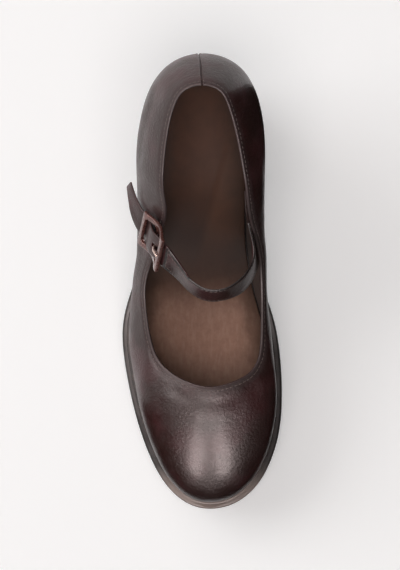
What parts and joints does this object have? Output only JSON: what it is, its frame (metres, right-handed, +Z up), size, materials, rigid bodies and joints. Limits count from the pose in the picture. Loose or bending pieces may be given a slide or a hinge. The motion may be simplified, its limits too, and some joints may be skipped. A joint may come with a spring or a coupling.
{
  "type": "heeled Mary Jane shoe",
  "caption": "Right-foot Mary Jane in dark brown smooth leather, with a round toe, thin platform sole, block heel, instep strap and centre-bar buckle.",
  "frame": {"origin": "on the floor under the middle of the shoe's box", "axes": "+Z up, -Y towards the toe, +Y towards the heel, +X towards the big toe's side"},
  "size_m": [0.0868, 0.2401, 0.1154],
  "materials": {
    "upper_leather": "satin",
    "lining_leather": "matte",
    "sole_edge": "satin",
    "outsole_rubber": "matte",
    "buckle_cover": "gloss",
    "prong_metal": "polished"
  },
  "bodies": {
    "root": {"upper": "upper_leather", "insole": "lining_leather", "welt": "sole_edge", "midsole": "sole_edge", "outsole": "outsole_rubber", "heel_block": "sole_edge", "heel_top_piece": "outsole_rubber", "strap": "upper_leather", "buckle_frame": "buckle_cover", "buckle_prong": "prong_metal", "buckle_tab": "upper_leather"}
  },
  "joints": []
}
